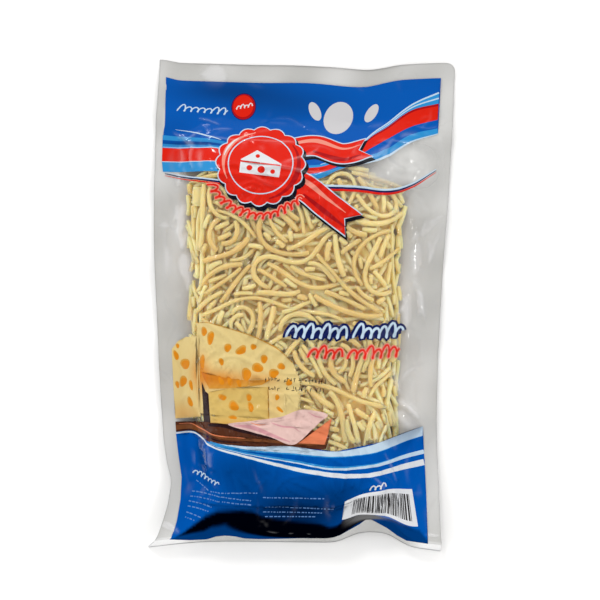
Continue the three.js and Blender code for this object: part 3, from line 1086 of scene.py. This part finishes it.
band("sky", ribbon_top, over_ribbon(1))
band("blue", over_ribbon(0.32, 0, 5), over_ribbon(0.62, 0, 5))
stroke("pale", over_ribbon(0.06, 0, 4), (0.2, 0.5, 0.3))
stroke("pale", over_ribbon(1, 5), (0.3, 0.5, 0.8, 0.9))
stroke("pale", over_ribbon(0.5, 7), (0.2, 0.4, 0.6, 0.8))
band("sky", HEADER_LOW, sky_low)
band("blue", sky_low, ribbon_low)
band("red", ribbon_low, ribbon_top)
stroke("deep red", [(a, b - 0.6) for a, b in ribbon_top[6:]], (0.3, 1.2, 1.3))
stroke("pale", ribbon_low[:4], (0.4, 0.3))
stroke("pale", [(10, 227.7), (20, 226), (33.5, 221.4)], (0.2, 0.6, 0.9, 0.3))
stroke("pale", HEADER_LOW[7:], (0.3, 1.2, 0.9, 0.5), shift=(0, -0.2))

# A thin double line swings under the header.
ARC = [(5.3, 201.6), (20, 199), (37, 197), (70, 195.6), (100.3, 195.5), (118, 194.3), (131, 198.7),
       (142.9, 206.8)]
stroke("pale", ARC, (0.3, 0.9, 1.5, 1.9, 1.7, 0.4), shift=(0, 0.9))
stroke("navy", ARC, (0.3, 0.9, 1.2, 1.2, 1.1, 0.3), shift=(0, 0.2))
stroke("red", ARC, (0.2, 0.9, 1.0, 1.1, 1.2, 0.3), shift=(0, -0.8))

# Pale bubbles in the blue.
for centre, radius, tall, turned in (((92, 238), 7.2, 1.5, -12), ((80, 241.6), 2.8, 2.2, 20),
                                     ((108.6, 242), 2.8, 2.2, -22)):
    disc("mist", centre, radius, tall, turned, 32)

# Pen loops and a red spot with a navy rim.
loops("pale", [(11, 241.2), (23, 240.6), (36, 239.6)], 1.5, 3.4, 0.7, 3)
disc("navy", (43.8, 243.4), 6.3, 1.36, sides=32)
disc("deep red", (43.8, 243.4), 5.9, 1.36, sides=32)
disc("red", (43.6, 243.8), 5.1, 1.36, sides=32)
loops("white", [(40.4, 242.6), (47.8, 244.4)], 0.9, 2.0, 0.6, 5)

# The seal of quality: a scalloped red rosette with two ribbon tails.
ROSETTE = np.array([54.0, 208.0])
SCALLOPS = 16


def scalloped(radius, depth):
    angle = np.linspace(0, 2 * math.pi, SCALLOPS * 6, endpoint=False)
    reach = radius + depth * np.abs(np.cos(SCALLOPS / 2 * angle))
    return ROSETTE + np.stack([reach * np.cos(angle), reach * np.sin(angle)], axis=1)


def on_rosette(radius, from_angle, to_angle):
    """An arc round the rosette."""
    angle = np.radians(np.linspace(from_angle, to_angle, 10))
    return ROSETTE + radius * np.stack([np.cos(angle), np.sin(angle)], axis=1)


def tail(middle, half, grow):
    """A ribbon tail with a swallow-tail end."""
    line = smooth_line(middle)
    ahead, aside = directions(line)
    wide = half + grow
    end = line[-1] + ahead[-1] * grow
    notch = end - ahead[-1] * half * 0.9
    tip = [end + aside[-1] * wide, notch, end - aside[-1] * wide]
    return np.concatenate([line[:-1] + aside[:-1] * wide, tip, (line[:-1] - aside[:-1] * wide)[::-1]])


# [middle line, half width]
TAILS = [([(62, 214), (80, 219.5), (95, 215), (108, 219)], 6.0),
         ([(60, 202), (76, 196), (88, 187), (102, 177)], 6.6)]
for middle, half in TAILS:
    area("night", tail(middle, half, 0.7) + np.array([0.9, -1.7]))
for middle, half in TAILS:
    area("pale", tail(middle, half, 0.6))
    area("red", tail(middle, half, 0))
    short_of_end = 0.3 * np.array(middle[-2]) + 0.7 * np.array(middle[-1])
    inner = [*middle[:-1], short_of_end]
    stroke("deep red", [(a, b - 0.6 * half) for a, b in inner[1:]], (1.2, 2.6, 0.8))
    stroke("rose", [(a, b + 0.5 * half) for a, b in inner], (1.0, 2.6, 0.3))
area("night", scalloped(21.4, 1.9) + np.array([1.0, -1.8]))
area("pale", scalloped(21.1, 1.8))
area("red", scalloped(20.5, 1.8))
stroke("deep red", on_rosette(19.2, 285, 395), (0.6, 2.8, 0.6))
disc("pale", ROSETTE, 16.5, sides=56)
disc("red", ROSETTE, 15.9, sides=56)
stroke("rose", on_rosette(18.7, 100, 208), (0.4, 2.6, 0.4))
stroke("white", on_rosette(18.9, 128, 168), (0.3, 1.2, 0.3))
area("white", ROSETTE + np.array([(-10.5, -5.5), (9.5, -7.5), (10.5, -0.5), (-2, 7.5), (-10, 2)]))
area("red", ROSETTE + np.array([(-10.2, 1.4), (10, -1.1), (10, -1.9), (-10.2, 0.5)]))
for x, y, radius in ((-5.5, -2.8, 1.5), (0.4, -3.6, 1.9), (6.2, -4.6, 1.2), (-1.6, 4, 1.1)):
    disc("red", ROSETTE + np.array([x, y]), radius)

# Pen loops hang in an arc under the rosette.
hanging = on_rosette(27.6, 206, 320)
loops("rose", hanging, 1.5, 3.7, 2.0, 7)
loops("red", hanging, 1.5, 3.7, 1.0, 7)

# Two lines of pen loops in the window: pale in navy, and red in rose.
for line, seed in (([(69.6, 122.2), (85, 122), (100.5, 122.4)], 16),
                   ([(104.5, 122.6), (117, 122.8), (129.6, 123.6)], 18)):
    loops("navy", line, 2.5, 4.4, 3.8, seed)
    stroke("navy", line, (2, 5.4, 5.4, 2))
    loops("pale", line, 2.5, 4.4, 1.3, seed)
for line, seed in (([(81, 111.9), (90, 111.6), (97.5, 111.5)], 21),
                   ([(101.6, 111.7), (114, 112.2), (129.2, 113.2)], 24)):
    loops("rose", line, 2.2, 4.3, 2.1, seed)
    loops("red", line, 2.2, 4.3, 1.0, seed)

# A wedge and a slab of cheese with holes, on a board with a cloth.
area("cheese", [(7.2, 76), (7.2, 111.7), (10.7, 115.9), (15.2, 118.1), (22.4, 119), (22, 78)])
area("cheese", [(21, 80), (21.2, 120), (21.8, 125.5), (27, 126.1), (34.8, 124.4), (44, 122), (53.5, 118.9),
                (64.4, 113.6), (72.2, 106.8), (75.9, 98), (75.7, 88.3), (73, 78)])
stroke("rind", [(22, 125.4), (27, 126), (34.8, 124.3), (44, 121.9), (53.5, 118.8), (64.4, 113.5),
                (72.1, 106.8)], (0.2, 0.5, 0.5, 0.7, 0.3))
area("rind", [(23.3, 101), (25.4, 97), (28, 92.8), (38.7, 93.2), (55.7, 95.3), (60.6, 98.2), (48, 97.4),
              (36, 98.6)])
area("shadow", [(23.6, 96), (25.8, 91.4), (27.6, 90), (27.4, 74), (23.4, 74.6), (24, 84)])
area("slab", [(27.4, 91.1), (38.7, 93.4), (58.9, 94.4), (68, 91.5), (68, 80), (58.9, 76.9), (27.6, 75.1)])
area("cheese", [(58.9, 94.4), (63, 93.6), (68.6, 91.4), (72.6, 86), (73, 79), (59, 77)])
stroke("rind", [(58.9, 94.2), (59, 86), (58.8, 77.4)], (0.3, 0.6, 0.3))
area("plank", [(7.1, 74.4), (15.2, 74.9), (24.8, 75.8), (38.9, 75.4), (60, 76), (80, 74), (91, 70.6),
               (88.7, 64.2), (80.1, 62.6), (58.7, 63), (42.7, 63), (31, 63.5), (24.3, 65.6), (14.9, 68.6),
               (7.1, 67.8)])
area("board", [(7.1, 72.7), (15.2, 73.5), (20, 73.8), (26, 70.8), (34, 69.4), (50, 68.6), (70, 67.6),
               (90, 68.8), (88.9, 66), (79.6, 65.6), (58.7, 66.6), (42, 67.3), (32, 67.8), (24.3, 69.6),
               (14.9, 71.2), (7.1, 70)])
stroke("salmon", [(9, 73.4), (16, 73.8), (21, 72.2), (30, 69.6), (46, 68.6)], (0.2, 0.5, 0.5, 0.2))
stroke("shadow", [(26, 74.4), (34, 74.6), (44, 72.4), (58, 69.3), (68, 67)], (1.2, 2.2, 1.6, 0.6))
stroke("shadow", [(7.1, 70), (15, 70.6), (24, 68.8), (32, 66.8), (44, 66.2)], (0.4, 0.6, 0.9, 0.4))
area("salmon", [(74, 66.6), (86, 75), (92.6, 79.6), (90.4, 72), (88, 66.2)])
area("cloth", [(36.9, 75.4), (48.7, 77.2), (64.8, 79.6), (75.6, 83.3), (84.1, 83), (90.5, 81.2), (86, 77.4),
               (81.6, 73.5), (71.1, 65.8), (59, 69.5), (45.8, 72.6)], True)
stroke("fold", [(40, 74.8), (50, 74), (60, 70.4), (69.6, 67.2)], (0.6, 2.4, 1.8, 0.5))
stroke("fold", [(60, 76.6), (66, 74.8), (72, 74.4), (75, 72.4)], (0.3, 0.9, 0.8, 0.2))
stroke("fold", [(80, 82.2), (84, 80.2), (88, 79.8)], (0.2, 0.8, 0.2))
stroke("salmon", [(49, 76.4), (53, 75.4), (57, 75.6)], (0.2, 0.5, 0.2))
for centre, radius, tall, turned in (
        ((25.5, 121.5), 1.3, 1.5, 10), ((29, 118.4), 1.6, 1.7, -20), ((38, 113.6), 1.5, 1.2, 0),
        ((45, 112.6), 2.4, 0.7, 30), ((51.5, 114.4), 1.2, 1.1, 0), ((57, 108.4), 1.5, 1.2, 20),
        ((53.5, 104), 2.4, 0.8, 15), ((47.6, 100.6), 2.2, 1.1, -20), ((62, 101.4), 2.3, 0.75, 0),
        ((66, 105), 1.6, 0.9, 20), ((70, 97), 1.3, 1.2, 0), ((34.5, 106.6), 1.1, 1.4, 0),
        ((24.2, 106), 1.2, 2.4, 0),
        ((34, 97), 1.2, 1.8, 20), ((38.6, 96.8), 1.2, 1.8, 24), ((43.4, 96.2), 1.3, 1.3, 40),
        ((9.4, 108.6), 1.1, 1.9, 10), ((14.2, 104.4), 1.9, 1.3, -40), ((12.6, 95.4), 1.6, 1.5, -10),
        ((17, 93.6), 1.0, 2.0, 10), ((9.4, 93.6), 0.9, 1.7, 0), ((16, 85), 1.3, 1.6, 10),
        ((10.4, 113.4), 0.8, 1.2, 0),
        ((34.5, 88.8), 1.8, 0.7, 0), ((40.4, 84.6), 2.1, 1.0, 0), ((48.6, 89), 1.3, 1.1, 0),
        ((49.4, 84.2), 1.3, 1.5, 20), ((39.6, 79), 1.7, 0.5, 0), ((63.6, 89.4), 0.9, 1.5, 0),
        ((64.8, 83.4), 1.6, 0.5, -35)):
    disc("rind", centre, radius * 1.25, tall, turned, 16, 0.1)
    disc("hole", (centre[0] + 0.15 * radius, centre[1] - 0.2 * radius), radius, tall, turned, 16, 0.14)

# Two rows of dots, as a date stamp leaves.
dot_rng = np.random.default_rng(11)
for start, end in (((58, 98.4), (89, 97.8)), ((59.5, 93.8), (89.5, 93.2))):
    for share in np.linspace(0, 1, 20):
        if dot_rng.uniform() < 0.12:
            continue
        x = start[0] + share * (end[0] - start[0])
        y = start[1] + share * (end[1] - start[1])
        for _ in range(3):
            angle = dot_rng.choice([0.15, 1.4, 1.7])
            reach = np.array([math.cos(angle), math.sin(angle)]) * dot_rng.uniform(0.4, 0.8)
            spot = np.array([x, y]) + dot_rng.uniform((-0.4, -0.8), (0.4, 0.8))
            stroke("black", [spot - reach, spot + reach], 0.3, smooth=False)

# Footer: blue, with a pale band and two stripes that sag in the middle, and a keyline at the left.
KEYLINE = [(7, 68.6), (15.4, 69.5), (20.1, 68.5), (24, 64.9), (32.2, 62.4), (53.6, 57.4), (68.3, 54.2),
           (78.9, 52.5), (103.5, 50.1), (117.9, 51.4), (142.5, 57)]
SECOND_STRIPE = [(24.6, 65.2), (44.9, 60.7), (68.7, 57.2), (93.2, 54), (118.4, 56.6), (142.7, 62.3)]
FOOTER_TOP = [(26.4, 65.9), (38, 65), (50, 64.4), (69.4, 65), (93.9, 63), (119.1, 68.2), (142.5, 75.2)]
PALE_LOW = [(26.4, 65.5), (38, 63.3), (50, 61.8), (69.1, 60.9), (93.7, 59.9), (118.9, 63.4), (142.4, 70.2)]
FOOTER_SIDE = [(7.1, 57.5), (6.3, 46.8), (6.6, 36.5), (7.7, 26.7), (8, 20.6)]
FOOTER_LOW = [(8.1, 12), (20.1, 6.8), (29, 6.5), (32.1, 12.9), (36.5, 14.8), (42.1, 12.2), (48.4, 7.3),
              (56.4, 6.3), (66.4, 8.1), (76.4, 9.5), (89.3, 10.7), (97, 10.4), (107.3, 9.8),
              (109.9, 14.7), (112.5, 14.2), (117, 9), (122, 6.5), (127, 5), (132, 6.5), (138, 12.5),
              (142.8, 12.7)]
area("footer blue", [*FOOTER_SIDE[::-1], *KEYLINE[:3], (24, 66.2), *FOOTER_TOP, (142.9, 56), (142.9, 38.5),
                     *FOOTER_LOW[::-1]])
band("pale", PALE_LOW, FOOTER_TOP)
band("sky", PALE_LOW, [(a, b + 1.2 - 0.007 * a) for a, b in PALE_LOW])
stroke("sky", SECOND_STRIPE, (0.6, 1.3, 1.8, 1.8, 1.0), shift=(0, 0.5))
stroke("pale", SECOND_STRIPE, (0.2, 0.4, 0.8, 1.6, 2.1))
stroke("sky", KEYLINE, (1.0, 1.2, 1.9, 2.5, 2.8, 3.0, 3.2))
stroke("white", KEYLINE, (0.7, 0.8, 1.3, 1.9, 2.4, 2.7, 3.0))

# Rows of tiny strokes, a short one for the weight, and plain bars.
text_rng = np.random.default_rng(23)


def tiny_row(start, end, most, high=0.26):
    """A row of tiny dashes as long as words."""
    start, end = np.array(start, float), np.array(end, float)
    length = np.linalg.norm(end - start)
    ahead = (end - start) / length
    aside = np.array([-ahead[1], ahead[0]]) * high
    run = 0.0
    while run < length - 0.6:
        word = min(text_rng.uniform(0.5, most), length - run)
        first, last = start + ahead * run, start + ahead * (run + word)
        area("faded", [first - aside, last - aside, last + aside, first + aside])
        run += word + text_rng.uniform(0.4, 0.9)


loops("pale", [(13.8, 49.6), (20, 47.2), (27, 44.8)], 1.0, 2.1, 0.6, 9)
for start, end in (((14.1, 45.4), (21.5, 41.2)), ((22.7, 40.9), (49.9, 41.4)), ((12.2, 40.2), (30, 39.1)),
                   ((30, 39.1), (46, 37.4)), ((11.6, 37.8), (30.3, 36.7)), ((30.3, 36.7), (46.3, 35.4)),
                   ((11.3, 35.6), (26, 33.2)), ((11.3, 33.2), (24, 31.2)), ((11.4, 30.4), (20, 28)),
                   ((11.6, 28), (18, 26)), ((52.3, 39.2), (86.4, 39.4)), ((54, 34.5), (92, 33.8)),
                   ((53.4, 31.8), (85.1, 31.8)), ((54.9, 29.4), (82.4, 29.8))):
    tiny_row(start, end, 2.0)
loops("white", [(110.8, 41.4), (118.8, 42.4)], 1.3, 2.9, 0.8, 12)

# The panel of bars.
PANEL_TOP = [(96.9, 36.7), (116, 39.6), (134.9, 43)]
PANEL_LOW = [(96.4, 26.7), (104, 23.4), (112.4, 20.2), (124, 21.6), (137.8, 25.1)]
band("white", PANEL_LOW, PANEL_TOP)
bar_top, bar_low = smooth_line(PANEL_TOP, step=0.4), smooth_line(PANEL_LOW, step=0.4)


def on_line(line, share):
    place = share * (len(line) - 1)
    i = min(int(place), len(line) - 2)
    return line[i] + (line[i + 1] - line[i]) * (place - i)


share = 0.13
while share < 0.93:
    wide = text_rng.choice([0.008, 0.008, 0.016, 0.024])
    quad = []
    for side, reach in ((share, 0.86), (share + wide, 0.86), (share + wide, 0.14), (share, 0.14)):
        low, high = on_line(bar_low, side), on_line(bar_top, side)
        quad.append(low + (high - low) * reach)
    area("black", quad)
    share += wide + text_rng.choice([0.009, 0.009, 0.018])


def outline(step):
    """The films' cut edge, with its top right corner rounded."""
    bend = 4.2
    turn = np.radians(np.linspace(8, 82, 5))
    right, top = FILM_WIDTH - bend, FILM_LENGTH - bend
    rounding = np.stack([right + bend * np.cos(turn), top + bend * np.sin(turn)], axis=1)
    ways = [((0, 0), (FILM_WIDTH, 0)), ((FILM_WIDTH, 0), (FILM_WIDTH, top)), None,
            ((right, FILM_LENGTH), (0, FILM_LENGTH)), ((0, FILM_LENGTH), (0, 0))]
    parts = []
    for way in ways:
        if way is None:
            parts.append(np.concatenate([[(FILM_WIDTH, top)], rounding]))
            continue
        start, end = np.array(way, float)
        count = int(round(np.linalg.norm(end - start) / step))
        parts.append(start + (end - start) * (np.arange(count) / count)[:, None])
    return np.concatenate(parts)


def film_grid(spacing, fine_spacing):
    """Places on the film, close where the creases are sharp and wide apart elsewhere."""
    ratio = int(round(spacing / fine_spacing))
    across = np.arange(0.7, FILM_WIDTH - 0.5, fine_spacing)
    along = np.arange(0.7, FILM_LENGTH - 0.5, fine_spacing)
    a, b = np.meshgrid(across, along)
    lift = crease_height(a, b)
    sharp = np.zeros(lift.shape)
    sharp[1:-1, 1:-1] = np.abs(4 * lift[1:-1, 1:-1] - lift[:-2, 1:-1] - lift[2:, 1:-1] - lift[1:-1, :-2]
                               - lift[1:-1, 2:])
    keep = sharp > SHARP_CREASE
    keep[::ratio, ::ratio] = True
    shake = np.random.default_rng(4).uniform(-0.08, 0.08, (keep.sum(), 2))
    return np.stack([a[keep], b[keep]], axis=1) + shake


def wound_by(shape, places):
    """Which places a closed shape winds round."""
    start, end = shape[None], np.roll(shape, -1, axis=0)[None]
    x, y = places[:, None, 0], places[:, None, 1]
    run_x, run_y = end[..., 0] - start[..., 0], end[..., 1] - start[..., 1]
    side = run_x * (y - start[..., 1]) - (x - start[..., 0]) * run_y
    upwards = (start[..., 1] <= y) & (end[..., 1] > y) & (side > 0)
    downwards = (start[..., 1] > y) & (end[..., 1] <= y) & (side < 0)
    return upwards.sum(axis=1) != downwards.sum(axis=1)


def cut_sheet(edge, grid, shapes):
    """A sheet of triangles whose edges follow every shape, and the last shape that each lies in."""
    places = [edge]
    lines = [(i, (i + 1) % len(edge)) for i in range(len(edge))]
    count = len(edge)
    for shape in shapes:
        lines += [(count + i, count + (i + 1) % len(shape)) for i in range(len(shape))]
        places.append(shape)
        count += len(shape)
    places.append(grid)
    flat = [Vector(p) for p in np.concatenate(places).tolist()]
    points, _, triangles, point_from, _, _ = delaunay_2d_cdt(flat, lines, [], 0, 1e-4)
    points, triangles = np.array([tuple(p) for p in points]), np.array(triangles)
    edge_at = {source: index for index, sources in enumerate(point_from)
               for source in sources if source < len(edge)}
    middles = points[triangles].mean(axis=1)
    in_shape = np.zeros(len(triangles), int)
    for number, shape in enumerate(shapes, 1):
        low, high = shape.min(axis=0), shape.max(axis=0)
        near = np.nonzero(((middles > low) & (middles < high)).all(axis=1))[0]
        in_shape[near[wound_by(shape, middles[near])]] = number
    return points, triangles, in_shape, [edge_at[i] for i in range(len(edge))]


RIM_STEP = 1.5
BACK_SPACING = 2.4
SHARP_CREASE = 0.045
LOWEST = 0.02
# Creases gleam from the first of these heights on, and fully at the second: the inks get a coat there, and
# the clear film is painted paler there as a painted highlight.
GLEAM_HEIGHTS = (0.04, 0.5)
edge = outline(RIM_STEP)
fine = ((1.3, 0.65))
shapes = [shape for _, shape in fields]
front_flat, front_triangles, front_field, front_rim = cut_sheet(edge, film_grid(*fine), shapes)
back_across = np.arange(2, FILM_WIDTH - 1, BACK_SPACING)
back_along = np.arange(2, FILM_LENGTH - 1, BACK_SPACING)
back_grid = np.stack(np.meshgrid(back_across, back_along), axis=-1)
back_flat, back_triangles, _, back_rim = cut_sheet(edge, back_grid.reshape(-1, 2), [])
front_count = len(front_flat)
front_at, back_at = front_flat.T, back_flat.T
points = np.concatenate([front_skin(*front_at), back_skin(*back_at)])
points[:, 2] = np.maximum(points[:, 2], LOWEST)
normals = np.concatenate([across_the_film(front_skin, *front_at, 0.3),
                          -across_the_film(back_skin, *back_at, 0.3)])
ink_of_field = [ink_names.index("clear film")] + [ink_names.index(name) for name, _ in fields]
pearl = ink_names.index("pearl back")
faces = front_triangles.tolist() + (back_triangles[:, ::-1] + front_count).tolist()
face_inks = [ink_of_field[field] for field in front_field] + [pearl] * len(back_triangles)
for i in range(len(edge)):
    after = (i + 1) % len(edge)
    faces.append([front_rim[after], front_rim[i], back_rim[i] + front_count, back_rim[after] + front_count])
    face_inks.append(ink_names.index("white"))
film = mesh_piece("film", points, faces, [INKS[name] for name in ink_names], face_inks)
film.data.normals_split_custom_set_from_vertices(normals.tolist())
gleams = np.zeros(len(points))
gleams[:front_count] = soft_step(np.abs(crease_height(*front_at)), *GLEAM_HEIGHTS)
keep_on_points(film, "gleam", gleams)
keep_on_points(film, "depth", np.concatenate([painted_shade_and_print_depth(*front_at), back_pale_corners_and_painted_light(*back_at)]))
keep_on_points(film, "veil", veil_share(*np.concatenate([front_flat, back_flat]).T))

# Shreds that lie against the film are pressed flat by it. The gap that is left is wider behind the
# footer: [y, gap].
PRESS_GAP = [(-64, 1.0), (-50, 0.28)]
PRESS_REACH = 5
film_points = [Vector(p) for p in points[:front_count].tolist()]
film_tree = BVHTree.FromPolygons(film_points, front_triangles.tolist())
for shreds in shred_pieces:
    places = np.array([vertex.co for vertex in shreds.data.vertices]) / MM
    close = np.nonzero(places[:, 2] > map_at(ceiling, places[:, 0], places[:, 1]) - PRESS_REACH)[0]
    for index in close:
        above = Vector((places[index, 0], places[index, 1], 100))
        hit, normal, _, _ = film_tree.ray_cast(above, Vector((0, 0, -1)))
        if hit is not None:
            gap = on_stations(PRESS_GAP, places[index, 1])
            places[index, 2] = min(places[index, 2], hit.z - gap / max(abs(normal.z), 0.25))
    shreds.data.vertices.foreach_set("co", (places * MM).ravel())
    shreds.data.update()
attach(film, "root")
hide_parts("bag")
